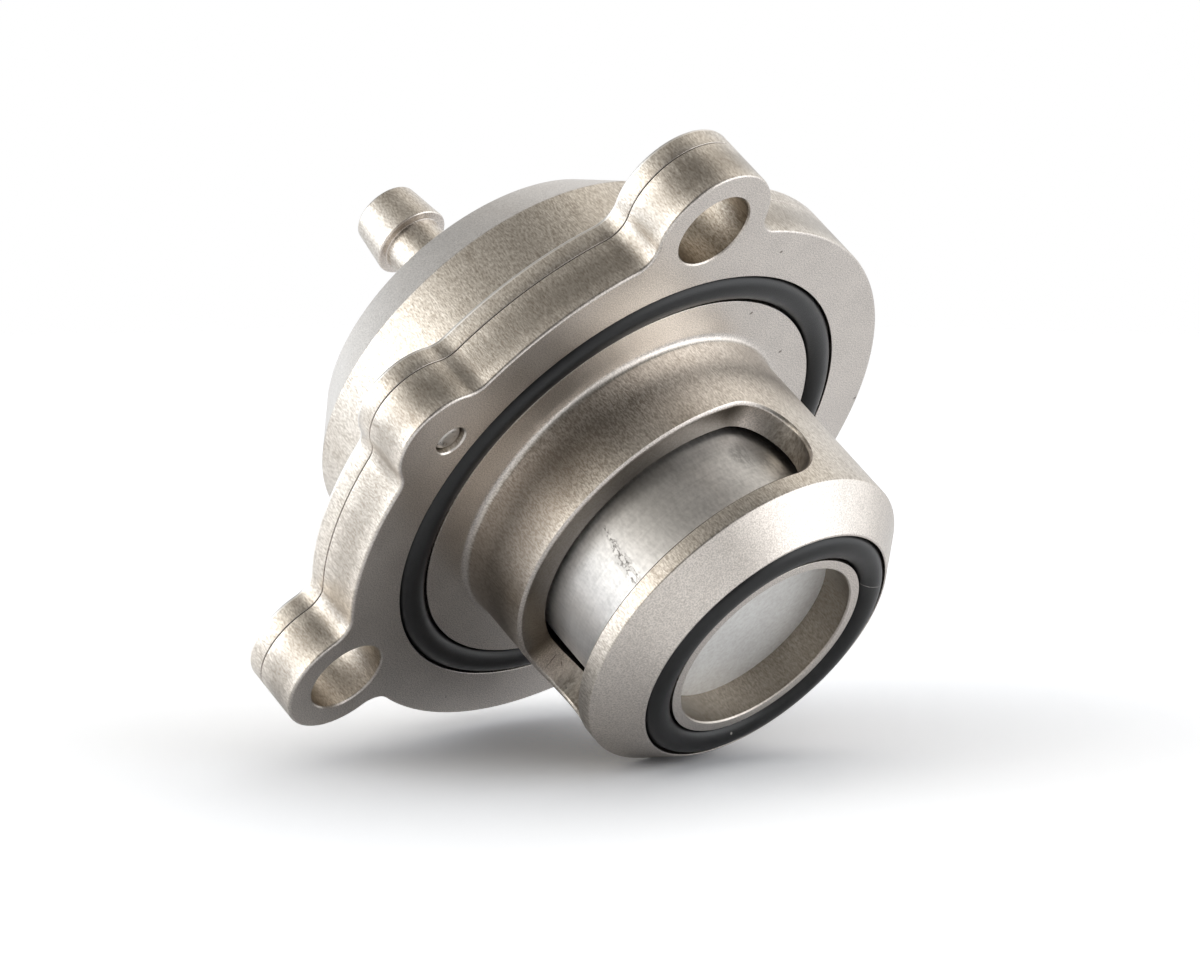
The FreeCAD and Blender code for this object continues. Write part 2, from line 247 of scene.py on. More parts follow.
def circle(name, count, filled=False):
    """A new ring of vertices, ready to be shaped."""
    nothing_selected()
    bpy.ops.mesh.primitive_circle_add(vertices=count, radius=1.0, fill_type="NGON" if filled else "NOTHING")
    piece = bpy.context.active_object
    piece.name = name
    return piece


def rounded(corners):
    """Outline through (radius, height) corners, with an arc at each one that also gives a rounding."""
    points = []
    count = len(corners)
    for index, (radius, height, *extra) in enumerate(corners):
        here = Vector((radius, height))
        rounding = extra[0] if extra else 0.0
        if rounding <= 0.0:
            points.append(here)
            continue
        before = Vector(corners[index - 1][:2]) - here
        after = Vector(corners[(index + 1) % count][:2]) - here
        before.normalize()
        after.normalize()
        half = before.angle(after) / 2.0
        centre = here + (before + after).normalized() * (rounding / math.sin(half))
        first = here + before * (rounding / math.tan(half)) - centre
        last = here + after * (rounding / math.tan(half)) - centre
        for step in range(CORNER_STEPS + 1):
            mixed = first.lerp(last, step / CORNER_STEPS).normalized() * rounding
            points.append(centre + mixed)
    return points


def tidy_shell(piece):
    edit(piece)
    bpy.ops.mesh.remove_doubles(threshold=NEAR)
    bpy.ops.mesh.delete_loose(use_verts=True, use_edges=True, use_faces=False)
    bpy.ops.mesh.select_all(action="SELECT")
    bpy.ops.mesh.normals_make_consistent(inside=False)
    done()


def turned(name, corners, segments=TURNED_STEPS):
    """Turns an outline of corners about Z."""
    outline = rounded(corners)
    piece = circle(name, len(outline))
    for vertex, (radius, height) in zip(piece.data.vertices, outline):
        vertex.co = (radius, 0.0, height)
    edit(piece)
    bpy.ops.mesh.spin(steps=segments, angle=FULL_TURN, center=(0, 0, 0), axis=(0, 0, 1))
    done()
    tidy_shell(piece)
    return piece


def moved(piece, x, y, z=0.0):
    edit(piece)
    bpy.ops.transform.translate(value=(x, y, z))
    done()
    return piece


def joined(pieces):
    nothing_selected()
    for piece in pieces:
        piece.select_set(True)
    bpy.context.view_layer.objects.active = pieces[0]
    if len(pieces) > 1:
        bpy.ops.object.join()
    return bpy.context.active_object


def combine(piece, other, operation):
    """Cuts or joins two closed shells for good."""
    only(piece)
    step = piece.modifiers.new("combine", "BOOLEAN")
    step.operation = operation
    step.solver = "EXACT"
    step.object = other
    bpy.ops.object.modifier_apply(modifier=step.name)
    bpy.data.objects.remove(other, do_unlink=True)


def cut(piece, cutter):
    combine(piece, cutter, "DIFFERENCE")


def fuse(piece, other):
    combine(piece, other, "UNION")


def finished(piece, name, body, slot, *nodes):
    """Brings a piece to metres, smooths it, gives it its slot's finish and seats it on its body."""
    edit(piece)
    bpy.ops.mesh.remove_doubles(threshold=NEAR)
    bpy.ops.transform.resize(value=(1.0 / MM,) * 3, center_override=(0, 0, 0))
    done()
    piece.name = name
    piece.data.name = name
    only(piece)
    bpy.ops.object.transform_apply(location=True, rotation=True, scale=True)
    bpy.ops.object.shade_smooth_by_angle(angle=SMOOTH_UP_TO)
    weigh = piece.modifiers.new("weigh", "WEIGHTED_NORMAL")
    weigh.keep_sharp = True
    bpy.ops.object.modifier_apply(modifier=weigh.name)
    piece.data.materials.clear()
    piece.data.materials.append(material_of(slot))
    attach(piece, body)
    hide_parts(*nodes)
    return piece


def polar(radius, angle):
    return radius * math.cos(angle), radius * math.sin(angle)


def bolt_angles(s):
    return [s.first_bolt + FULL_TURN * index / s.bolt_count for index in range(s.bolt_count)]


def arc_points(centre, radius, start, sweep):
    """Points along an arc, without its last one."""
    count = max(4, round(abs(sweep) * radius / OUTLINE_SPACING))
    found = []
    for step in range(count):
        x, y = polar(radius, start + sweep * step / count)
        found.append((centre[0] + x, centre[1] + y))
    return found


def flange_outline(s):
    """Points round the flange: a circle, and hollow fillet, round end and hollow fillet at each ear."""
    ears = [(angle % FULL_TURN, s.bolt_circle_r, s.bolt_ear_r) for angle in bolt_angles(s)]
    ears.append((s.screw_angle % FULL_TURN, s.screw_circle_r, s.screw_ear_r))
    ears.sort()
    hollow = s.ear_fillet_r
    reach = s.flange_r + hollow
    offsets = []
    for angle, distance, radius in ears:
        cosine = (reach**2 + distance**2 - (radius + hollow) ** 2) / (2.0 * reach * distance)
        offsets.append(math.acos(cosine))
    points = []
    for index, (angle, distance, radius) in enumerate(ears):
        offset = offsets[index]
        ear = polar(distance, angle)
        turns = []
        for side in (-1.0, 1.0):
            middle = polar(reach, angle + side * offset)
            toward_ear = math.atan2(ear[1] - middle[1], ear[0] - middle[0])
            toward_axis = angle + side * offset + math.pi
            sweep = (toward_ear - toward_axis + math.pi) % FULL_TURN - math.pi
            turns.append((middle, toward_axis, toward_ear, sweep))
        middle, toward_axis, toward_ear, sweep = turns[0]
        points += arc_points(middle, hollow, toward_axis, sweep)
        start = toward_ear + math.pi
        around = (turns[1][2] + math.pi - start) % FULL_TURN
        points += arc_points(ear, radius, start, around)
        middle, toward_axis, toward_ear, sweep = turns[1]
        points += arc_points(middle, hollow, toward_ear, -sweep)
        following = (index + 1) % len(ears)
        here = angle + offset
        there = ears[following][0] - offsets[following]
        points += arc_points((0, 0), s.flange_r, here, (there - here) % FULL_TURN)
    return points


def rim_bevel(piece, height, width):
    """Breaks the edges that lie at one height."""
    edit(piece, "DESELECT")
    done()
    for vertex in piece.data.vertices:
        vertex.select = abs(vertex.co.z - height) < LEVEL
    for edge in piece.data.edges:
        edge.select = all(piece.data.vertices[index].select for index in edge.vertices)
    bpy.ops.object.mode_set(mode="EDIT")
    bpy.ops.mesh.bevel(offset=width, segments=3, profile=0.5, affect="EDGES")
    done()


def raised_land(piece, height, inset, rise):
    """Raises a flat face inside its rim, so that two plates meet with a fine groove round them."""
    edit(piece, "DESELECT")
    bpy.ops.mesh.select_mode(type="FACE")
    done()
    for face in piece.data.polygons:
        face.select = abs(face.center.z - height) < LEVEL
    bpy.ops.object.mode_set(mode="EDIT")
    bpy.ops.mesh.inset(thickness=inset, depth=rise)
    bpy.ops.mesh.select_mode(type="VERT")
    done()


def flange_plate(s, name, low, high, joint):
    """The flange's outline drawn up to a plate, with its rims broken and a fine groove at the joint."""
    outline = flange_outline(s)
    gap = s.joint_gap / 2.0
    bottom = low + gap if joint == low else low
    top = high - gap if joint == high else high
    piece = circle(name, len(outline), filled=True)
    for vertex, (x, y) in zip(piece.data.vertices, outline):
        vertex.co = (x, y, bottom)
    edit(piece)
    bpy.ops.mesh.extrude_region_move(TRANSFORM_OT_translate={"value": (0, 0, top - bottom)})
    bpy.ops.mesh.select_all(action="SELECT")
    bpy.ops.mesh.normals_make_consistent(inside=False)
    done()
    for height, face_z in ((bottom, low), (top, high)):
        rim_bevel(piece, height, s.seam_break if face_z == joint else s.edge_break)
    raised_land(piece, bottom if joint == low else top, s.joint_inset, gap)
    return piece


def drill(radius, low, high, low_break, high_break, segments=HOLE_STEPS):
    """A drill for a through hole with both mouths broken."""
    corners = [(0.0, low - OVER), (radius + low_break + OVER, low - OVER)]
    corners += [(radius, low + low_break, low_break * 0.6), (radius, high - high_break, high_break * 0.6)]
    corners += [(radius + high_break + OVER, high + OVER), (0.0, high + OVER)]
    return turned("drill", corners, segments)


def drills(s, low, high, low_break, high_break):
    """One drill at each bolt hole."""
    made = []
    for angle in bolt_angles(s):
        hole = drill(s.bolt_hole_r, low, high, low_break, high_break)
        made.append(moved(hole, *polar(s.bolt_circle_r, angle)))
    return made


def groove(s, mid_r, face_z):
    """Cutter for a ring's groove that runs up from a face that looks down."""
    half = s.ring_section / 2.0 + s.ring_side_gap
    lip = s.groove_lip
    over = 0.6
    inner, outer = mid_r - half, mid_r + half
    top = face_z + s.ring_section - s.ring_stand_out
    corners = [(inner - lip - over, face_z - over), (outer + lip + over, face_z - over)]
    corners += [(outer, face_z + lip, 0.03), (outer, top, 0.12)]
    corners += [(inner, top, 0.12), (inner, face_z + lip, 0.03)]
    return turned("groove", corners)


def window_middle(s):
    """Height of the side window's middle."""
    return -s.nose_length + s.seat_t + s.window_sill + s.window_h / 2.0


def window_cutter(s):
    """The side window's cutter: a mill drawn out sideways, flared at its mouth and wrapped on the barrel."""
    radius = s.window_h / 2.0
    middle_z = window_middle(s)
    lip = s.edge_break * 0.9
    inner, outer = s.bore_r - OVER, s.barrel_r + 0.8
    level = (outer + inner) / 2.0
    nothing_selected()
    bpy.ops.mesh.primitive_cylinder_add(vertices=HOLE_STEPS, radius=radius, depth=outer - inner)
    mill = bpy.context.active_object
    half_run = radius * 4.0
    for vertex in mill.data.vertices:
        if abs(vertex.co.x) > 1e-6:
            vertex.co.x += math.copysign(half_run, vertex.co.x)
    slices = 160
    for index in range(slices + 1):
        place = -half_run + 2.0 * half_run * index / slices
        edit(mill)
        bpy.ops.mesh.bisect(plane_co=(place, 0, 0), plane_no=(1, 0, 0), threshold=1e-5)
        done()
    for depth in (-lip * 1.5, -lip, -lip * 0.5, 0.05):
        edit(mill)
        place = s.barrel_r + depth - level
        bpy.ops.mesh.bisect(plane_co=(0, 0, place), plane_no=(0, 0, 1), threshold=1e-5)
        done()
    for vertex in mill.data.vertices:
        along, height, depth = vertex.co
        depth += level
        spine = max(-half_run, min(half_run, along))
        aside = along - spine
        above = depth - (s.barrel_r - lip)
        flare = max(0.0, above) + max(0.0, lip * 0.5 - abs(above)) * 0.35
        grow = 1.0 + flare / radius
        angle = s.screw_angle + s.window_half * spine / half_run + math.asin(aside * grow / depth)
        x, y = polar(depth, angle)
        vertex.co = (x, y, middle_z + height * grow)
    tidy_shell(mill)
    return mill


# Marks of wear, and patches of painted shade and painted highlight, in millimetres. A speck is a place. A
# scratch or hair on a face is a place, a half length and a turn. A line has two ends. A patch has a place and
# half widths, and crazing a turn. A smear's link has two ends and a width. The painted shade in the holes
# runs round from the first bolt.
FACE_SPECKS = ((22.8, -3.4, 0.0), (17.1, -0.9, 0.0), (14.6, 6.6, 0.0), (12.4, 21.3, 0.0))
FACE_SCRATCHES = (
    (-11.4, -20.9, 0.0, 1.1, 1.7),
    (-11.0, -21.9, 0.0, 0.5, 0.4),
    (-19.1, -14.6, 0.0, 1.0, 2.1),
    (-19.0, -13.6, 0.0, 0.5, 0.5),
    (-13.0, -9.5, 0.0, 1.0, 0.9),
)
WINDOW_SCRATCHES = (
    ((-13.4, -4.1, -7.9), (-12.0, -3.7, -7.6)),
    ((-12.2, -3.2, -8.0), (-13.5, -2.8, -9.7)),
)
WINDOW_TOOL_LINES = (
    ((-9.6, -10.1, -6.9), (-7.7, -9.9, -6.9)),
    ((-12.2, -6.3, -6.9), (-10.7, -6.2, -6.9)),
)
HOLE_SHADE = (1.0, 0.15, 1.0)
BARREL_SHADE = ((-8.0, -12.0, -3.5), (19.0, 19.0, 4.5))
PISTON_HIGHLIGHT = ((-7.5, -8.8, -9.5), (5.0, 5.0, 6.0))
PISTON_SHADE = ((4.0, -10.8, -9.0), (3.8, 3.8, 7.0))
PISTON_FILM = ((-0.2, -11.5, -11.2), (0.7, 1.0, 1.4))
PISTON_CRAZING = (
    ((10.2, -5.3, -9.6), (1.2, 1.2, 1.8), 0.5),
    ((10.9, -3.6, -11.0), (0.8, 0.8, 1.5), 0.5),
)
PISTON_SMEAR = (
    ((0.4, -11.5, -8.0), (0.2, -11.5, -9.6), 0.25),
    ((0.1, -11.5, -9.6), (-0.1, -11.5, -10.8), 0.45),
    ((-0.1, -11.5, -10.8), (-0.3, -11.5, -12.6), 0.7),
)
RING_HAIRS = ((6.8, -9.5, -19.2, 0.5, 0.6), (7.4, 6.2, -19.2, 1.5, 1.3))
RING_SPECK = (-8.3, 4.5, -19.4)

# Far past the valve's ends, in millimetres, for a mark that has no ends of its own.
ENDLESS = 900.0


class Recipe:
    """A finish, or the sky, being mixed: its nodes, its shader, its coordinates and the colour so far."""

    def __init__(self, holder, coordinates="Object"):
        holder.use_nodes = True
        self.holder = holder
        self.nodes = holder.node_tree.nodes
        self.links = holder.node_tree.links
        self.shader = self.nodes.get("Principled BSDF")
        source = self.nodes.new("ShaderNodeTexCoord")
        self.place = source.outputs[coordinates]
        self.facing = source.outputs["Normal"]
        self.shake = None
        self.colour = None

    def feed(self, socket, value):
        """Sets a socket to a number or colour, or links it to another node's output."""
        if isinstance(value, bpy.types.NodeSocket):
            self.links.new(value, socket)
        else:
            socket.default_value = value

    def fill(self, node, **sockets):
        """Feeds a node's inputs by name."""
        for name, value in sockets.items():
            self.feed(node.inputs[name.replace("_", " ")], value)
        return node.outputs

    def new(self, kind, **sockets):
        """The outputs of a new node, with its inputs fed by name."""
        return self.fill(self.nodes.new("ShaderNode" + kind), **sockets)

    def reckon(self, operation, *values, clamp=False):
        node = self.nodes.new("ShaderNodeMath")
        node.operation = operation
        node.use_clamp = clamp
        for socket, value in zip(node.inputs, values):
            self.feed(socket, value)
        return node.outputs[0]

    def plus(self, base, value, factor, clamp=False):
        """A base with a value added so many times."""
        return self.reckon("MULTIPLY_ADD", value, factor, base, clamp=clamp)

    def times(self, product, *factors):
        for factor in factors:
            product = self.reckon("MULTIPLY", product, factor)
        return product

    def away(self, value, middle=0.0):
        """How far a value is from a middle, either way."""
        return self.reckon("ABSOLUTE", self.reckon("SUBTRACT", value, middle))

    def either(self, masks):
        """The strongest of several masks."""
        strongest = masks[0]
        for mask in masks[1:]:
            strongest = self.reckon("MAXIMUM", strongest, mask)
        return strongest

    def vector(self, operation, *values):
        node = self.nodes.new("ShaderNodeVectorMath")
        node.operation = operation
        sockets = (node.inputs[0], node.inputs["Scale"]) if operation == "SCALE" else node.inputs[:3]
        for socket, value in zip(sockets, values):
            self.feed(socket, value)
        single = operation in ("LENGTH", "DISTANCE", "DOT_PRODUCT")
        return node.outputs["Value" if single else "Vector"]

    def remap(self, value, low, high, to_low=0.0, to_high=1.0):
        source = {"Value": value, "From_Min": low, "From_Max": high}
        return self.new("MapRange", **source, To_Min=to_low, To_Max=to_high)["Result"]

    def blend(self, share, first, second):
        node = self.nodes.new("ShaderNodeMix")
        node.data_type = "RGBA"
        return self.fill(node, Factor=share, A=first, B=second)["Result"]

    def toned(self, tone, colour, dark, light):
        """A colour from dark to light by a tone. Dark and light are shade's factor and warmth."""
        return self.blend(tone, shade(colour, *dark), shade(colour, *light))

    def paint(self, colour, mask, strength=1.0):
        """Lays a colour over the colour so far, where a mask lets it."""
        self.colour = self.blend(self.times(mask, strength), self.colour, colour)

    def noise(self, scale, detail=2.0, rough=0.5, stretch=None, output="Fac"):
        """Noise per metre. A stretch under 1 draws the grain out along that axis."""
        place = self.place
        if stretch:
            place = self.new("Mapping", Vector=place, Scale=stretch)["Vector"]
        return self.new("TexNoise", Vector=place, Scale=scale, Detail=detail, Roughness=rough)[output]

    def grain(self, *settings):
        """Noise that lies evenly about 0."""
        return self.reckon("SUBTRACT", self.noise(*settings), 0.5)

    def specks(self, per_metre, radius, share):
        """Round specks scattered in space: 1 on a speck. Share is the part of the cells that hold one."""
        cells = self.new("TexVoronoi", Vector=self.place, Scale=per_metre)
        near = self.remap(cells["Distance"], radius * per_metre * 0.6, radius * per_metre, 1.0, 0.0)
        draw = self.new("SeparateColor", Color=cells["Color"])[0]
        return self.times(near, self.reckon("GREATER_THAN", draw, 1.0 - share))

    def shaken(self, wobble):
        """The piece's own coordinates, shaken by up to half the wobble each way, in millimetres."""
        if self.shake is None:
            self.shake = self.noise(1600.0, output="Color")
        moved_on = self.vector("MULTIPLY_ADD", self.shake, (wobble / MM,) * 3, self.place)
        return self.vector("SUBTRACT", moved_on, (wobble / 2.0 / MM,) * 3)

    def line(self, start, end, width, source=None):
        """A thin line between two places in millimetres: 1 on it, 0 beside it."""
        along = (Vector(end) - Vector(start)) / MM
        from_start = self.vector("SUBTRACT", source or self.place, Vector(start) / MM)
        share = self.vector("DOT_PRODUCT", from_start, along / along.length_squared)
        nearest = self.vector("SCALE", along, self.reckon("MULTIPLY", share, 1.0, clamp=True))
        gap = self.vector("DISTANCE", from_start, nearest)
        return self.remap(gap, width * 0.3 / MM, width / MM, 1.0, 0.0)

    def lines(self, ends, width):
        return self.either([self.line(start, end, width) for start, end in ends])

    def mark(self, centre, size, turn=0.0, soft=0.4, wobble=0.0):
        """An oval mark at a place in millimetres: 1 inside, fading to 0 at its rim."""
        node = self.nodes.new("ShaderNodeMapping")
        node.vector_type = "TEXTURE"
        spread = self.fill(
            node,
            Vector=self.shaken(wobble) if wobble else self.place,
            Location=[part / MM for part in centre],
            Rotation=(0.0, 0.0, turn),
            Scale=[part / MM for part in size],
        )["Vector"]
        return self.remap(self.vector("LENGTH", spread), 1.0 - soft, 1.0, 1.0, 0.0)

    def column(self, centre, radius, reach, soft):
        """A mark that stands along the valve's axis."""
        return self.mark(centre, (radius, radius, reach), 0.0, soft)

    def hairs(self, places, width, depth, wobble):
        """Short crooked hairs or scratches."""
        marks = []
        for *centre, long, turn in places:
            marks.append(self.mark(centre, (long, width, depth), turn, 0.6, wobble))
        return self.either(marks)

    def height(self):
        """Place along the valve's axis, in metres."""
        return self.new("SeparateXYZ", Vector=self.place)["Z"]

    def looks_to_nose(self):
        """1 on flat faces that look towards the nose, 0 elsewhere."""
        return self.remap(self.new("SeparateXYZ", Vector=self.facing)["Z"], -0.99, -0.9, 1.0, 0.0)

    def wall(self):
        """1 on faces that stand along the valve's axis, 0 on faces across it."""
        across = self.new("SeparateXYZ", Vector=self.facing)["Z"]
        return self.remap(self.away(across), 0.35, 0.85, 1.0, 0.0)

    def set(self, bump, depth, **sockets):
        """Fills the shader in, with the colour so far and a bump in metres, and gives the finish."""
        normal = self.new("Bump", Height=bump, Distance=depth, Strength=1.0)["Normal"]
        self.fill(self.shader, Base_Color=self.colour, Normal=normal, **sockets)
        return self.holder


def shade(colour, factor, warmth=0.0):
    """A colour made darker or lighter, and warmer where warmth is above 0."""
    tint = (1.0 + warmth, 1.0, 1.0 - warmth)
    return tuple(min(1.0, channel * factor * part) for channel, part in zip(colour, tint)) + (1.0,)


def plated_metal(mix, finish):
    """Satin plating: short grain along walls, fine blasted grain on faces, painted shade in holes, stains and
    pits.
    """
    s = sizes()
    wall = mix.wall()
    dashes = mix.grain(8600.0, 2.0, 0.65, (1.0, 1.0, 0.36))
    blasted = mix.grain(9000.0, 1.0, 0.6)
    streaks = mix.grain(1500.0, 3.0, 0.6, (1.0, 1.0, 0.08))
    cutter_lines = mix.grain(4200.0, 3.0, 0.7, (0.03, 1.0, 1.0))
    cloud = mix.noise(260.0, 2.0, 0.55)
    stains = mix.noise(700.0, 3.0, 0.65, (1.0, 1.0, 0.5))
    # Where the barrel lies under the flange: painted shade there, and stronger grain.
    shade_under_flange = mix.mark(*BARREL_SHADE)
    wall_tone = mix.plus(mix.plus(0.5, streaks, 0.45), dashes, 2.6)
    wall_tone = mix.plus(wall_tone, mix.times(dashes, shade_under_flange), 4.4)
    wall_tone = mix.plus(wall_tone, mix.remap(stains, 0.58, 0.72), -0.3)

    half = s.window_h / 2.0
    past = mix.away(mix.height(), window_middle(s) / MM)
    in_barrel = mix.column((0.0, 0.0, 0.0), s.barrel_r - s.edge_break, ENDLESS, 0.005)
    in_window = mix.times(in_barrel, mix.reckon("LESS_THAN", past, (half + 0.05) / MM))
    milled = mix.times(in_barrel, mix.reckon("LESS_THAN", past, half / MM))
    milled_tone = mix.reckon("SUBTRACT", mix.plus(0.5, cutter_lines, 3.2), wall_tone)
    wall_tone = mix.plus(wall_tone, milled_tone, milled, clamp=True)
    face_tone = mix.plus(0.5, blasted, 4.2)
    face_tone = mix.plus(face_tone, mix.reckon("SUBTRACT", cloud, 0.5), 0.8, clamp=True)
    face = mix.toned(face_tone, finish.housing, (0.77,), (1.19,))
    side = mix.toned(wall_tone, finish.housing_wall, (0.62, 0.04), (1.36, -0.03))
    bore = mix.toned(wall_tone, finish.bore_shade, (0.6, 0.04), (1.4, -0.03))
    mix.colour = mix.blend(wall, face, side)

    on_rim = mix.plus(mix.height(), streaks, 0.0025)
    band_end = mix.remap(on_rim, 0.0026, 0.0037, 1.0, 0.0)
    band = mix.reckon("MINIMUM", mix.remap(on_rim, 0.0003, 0.0013), band_end)
    in_flange = mix.column((0.0, 0.0, 0.0), s.flange_r * 0.93, ENDLESS, 0.02)
    outside = mix.remap(in_flange, 0.0, 1.0, 1.0, 0.0)
    mix.paint(shade(finish.housing_wall, 0.3, 0.06), mix.times(band, outside), 0.45)

    inlet = mix.column((0.0, 0.0, -s.nose_length), s.inlet_r * 1.06, 20.0, 0.03)
    holes = [inlet]
    for angle, shade_share in zip(bolt_angles(s), HOLE_SHADE):
        hole = mix.column((*polar(s.bolt_circle_r, angle), 0.0), s.bolt_hole_r * 1.1, 60.0, 0.05)
        holes.append(mix.times(hole, shade_share))
    # Painted shade: the holes' walls take the darker bore colour, and the inlet's wall is darker still.
    mix.paint(bore, mix.times(mix.either(holes), wall))
    mix.paint(shade(finish.bore_shade, 0.4), mix.times(inlet, wall), 0.5)
    # Painted shade on the barrel under the flange.
    mix.paint(shade(finish.housing_wall, 0.5, 0.08), mix.times(shade_under_flange, wall), 0.66)
    # Painted shade on the window's flat wall that looks towards the nose.
    mix.paint(shade(finish.bore_shade, 0.35), mix.times(in_window, mix.looks_to_nose()), 0.75)
    mix.paint((0.07, 0.05, 0.04, 1.0), mix.lines(WINDOW_SCRATCHES, 0.07), 0.65)
    mix.paint((0.95, 0.88, 0.8, 1.0), mix.lines(WINDOW_TOOL_LINES, 0.06), 0.3)

    # A painted highlight: a pale band at the back of the cap's flange.
    rim = mix.away(mix.height(), (s.flange_t + s.cap_flange_t) / MM - 0.00013)
    mix.paint((0.97, 0.94, 0.9, 1.0), mix.reckon("LESS_THAN", rim, 0.00018), 0.7)
    pits = [mix.mark(centre, (0.2, 0.16, 0.2), 0.6, 0.6, 0.15) for centre in FACE_SPECKS]
    pitted = mix.either([*pits, mix.specks(260.0, 0.00009, 0.12)])
    mix.paint((0.07, 0.045, 0.03, 1.0), pitted, 0.75)
    mix.paint((0.95, 0.92, 0.88, 1.0), mix.hairs(FACE_SCRATCHES, 0.05, 0.1, 0.35), 0.5)

    height = mix.times(mix.plus(dashes, streaks, 0.25), wall)
    height = mix.plus(height, mix.times(cutter_lines, 1.5), milled)
    height = mix.plus(mix.plus(height, blasted, 0.32), pitted, -1.0)
    rough = finish.housing_rough
    gloss = mix.remap(cloud, 0.3, 0.7, rough - 0.02, rough + 0.04)
    return mix.set(height, 0.000018, Metallic=1.0, Roughness=gloss)


def turned_metal(mix, finish):
    """Bare piston metal: a smooth face, faint streaks along its wall, and smears where it has rubbed."""
    wall = mix.wall()
    streaks = mix.grain(1300.0, 3.0, 0.6, (1.0, 1.0, 0.04))
    lines = mix.grain(5200.0, 2.0, 0.6, (0.03, 0.03, 1.0))
    fine = mix.grain(3600.0, 2.0, 0.55, (1.0, 1.0, 0.6))
    cloud = mix.noise(350.0, 2.0, 0.55)
    tone = mix.plus(0.5, mix.times(streaks, wall), 0.7)
    tone = mix.plus(mix.plus(tone, mix.times(lines, wall), 0.9), fine, 2.0)
    tone = mix.plus(tone, mix.reckon("SUBTRACT", cloud, 0.5), 0.8, clamp=True)
    low = mix.blend(wall, shade(finish.piston, 1.2), shade(finish.piston, 0.82))
    high = mix.blend(wall, shade(finish.piston, 1.44), shade(finish.piston, 1.12))
    mix.colour = mix.blend(tone, low, high)

    crazing = mix.noise(1300.0, 5.0, 0.68, (1.0, 1.0, 0.4))
    veins = mix.remap(mix.away(crazing, 0.5), 0.0, 0.055, 1.0, 0.0)
    patches = [mix.mark(centre, size, turn, 0.7, 0.9) for centre, size, turn in PISTON_CRAZING]
    crazed = mix.times(mix.either(patches), veins, wall)
    mix.paint((0.12, 0.115, 0.11, 1.0), crazed, 0.35)
    # A painted highlight on the piston's wall.
    mix.paint((0.96, 0.94, 0.92, 1.0), mix.times(mix.mark(*PISTON_HIGHLIGHT, 0.0, 0.9), wall), 0.6)
    # Painted shade on the piston's wall.
    mix.paint((0.35, 0.34, 0.32, 1.0), mix.times(mix.mark(*PISTON_SHADE, 0.0, 0.9), wall), 0.3)
    mix.paint((0.3, 0.29, 0.28, 1.0), mix.times(mix.mark(*PISTON_FILM, 0.0, 0.7, 0.6), wall), 0.25)
    threads = mix.remap(mix.away(fine), 0.01, 0.05, 1.0, 0.0)
    rubbed = mix.shaken(0.5)
    chain = mix.either([mix.line(*link, rubbed) for link in PISTON_SMEAR])
    smear = mix.times(chain, threads, wall)
    mix.paint((0.13, 0.115, 0.105, 1.0), smear, 0.75)

    height = mix.times(mix.plus(streaks, lines, 0.4), wall)
    rough = mix.plus(mix.remap(cloud, 0.3, 0.7, 0.55, 0.61), wall, -0.16)
    gloss = mix.plus(rough, smear, 0.2)
    bare = mix.plus(0.7, wall, 0.3)
    return mix.set(mix.plus(height, crazed, -1.5), 0.000008, Metallic=bare, Roughness=gloss)


def black_rubber(mix, finish):
    """Smooth black seal rubber with a faint bloom, dust specks and fine hairs."""
    cloud = mix.noise(900.0, 4.0, 0.65)
    mix.colour = mix.toned(mix.remap(cloud, 0.35, 0.75), finish.rubber, (0.8,), (1.7,))
    speck = mix.mark(RING_SPECK, (0.12, 0.12, 0.4))
    dust = mix.either([mix.hairs(RING_HAIRS, 0.045, 0.9, 0.25), mix.specks(420.0, 0.00007, 0.16), speck])
    mix.paint((0.5, 0.47, 0.44, 1.0), dust, 0.7)
    gloss = mix.remap(cloud, 0.3, 0.7, 0.29, 0.39)
    return mix.set(mix.noise(9000.0, 2.0, 0.5), 0.000012, Roughness=gloss, Specular_IOR_Level=0.43)


def plain_steel(mix, finish):
    """Plain drawn and turned steel."""
    cloud = mix.noise(3000.0, 3.0, 0.6)
    mix.colour = mix.toned(mix.remap(cloud, 0.3, 0.7), finish.steel, (0.85,), (1.1,))
    gloss = mix.remap(cloud, 0.3, 0.7, 0.25, 0.4)
    return mix.set(mix.noise(7000.0, 2.0, 0.5), 0.000012, Metallic=1.0, Roughness=gloss)


# Each slot's finish: what it is called and how it is mixed.
FINISHES = {
    "housing_metal": ("satin_plating", plated_metal),
    "piston_metal": ("bare_turned", turned_metal),
    "seal_rubber": ("seal_rubber", black_rubber),
    "screw_steel": ("plain_steel", plain_steel),
    "spring_steel": ("plain_steel", plain_steel),
}


MIXED = {}


def material_of(slot):
    """A slot's finish. One that several pieces share is mixed once."""
    name, recipe = FINISHES[slot]
    if name not in MIXED:
        mix = Recipe(bpy.data.materials.new(name))
        MIXED[name] = recipe(mix, bpy.context.scene.valve_finish)
    return MIXED[name]


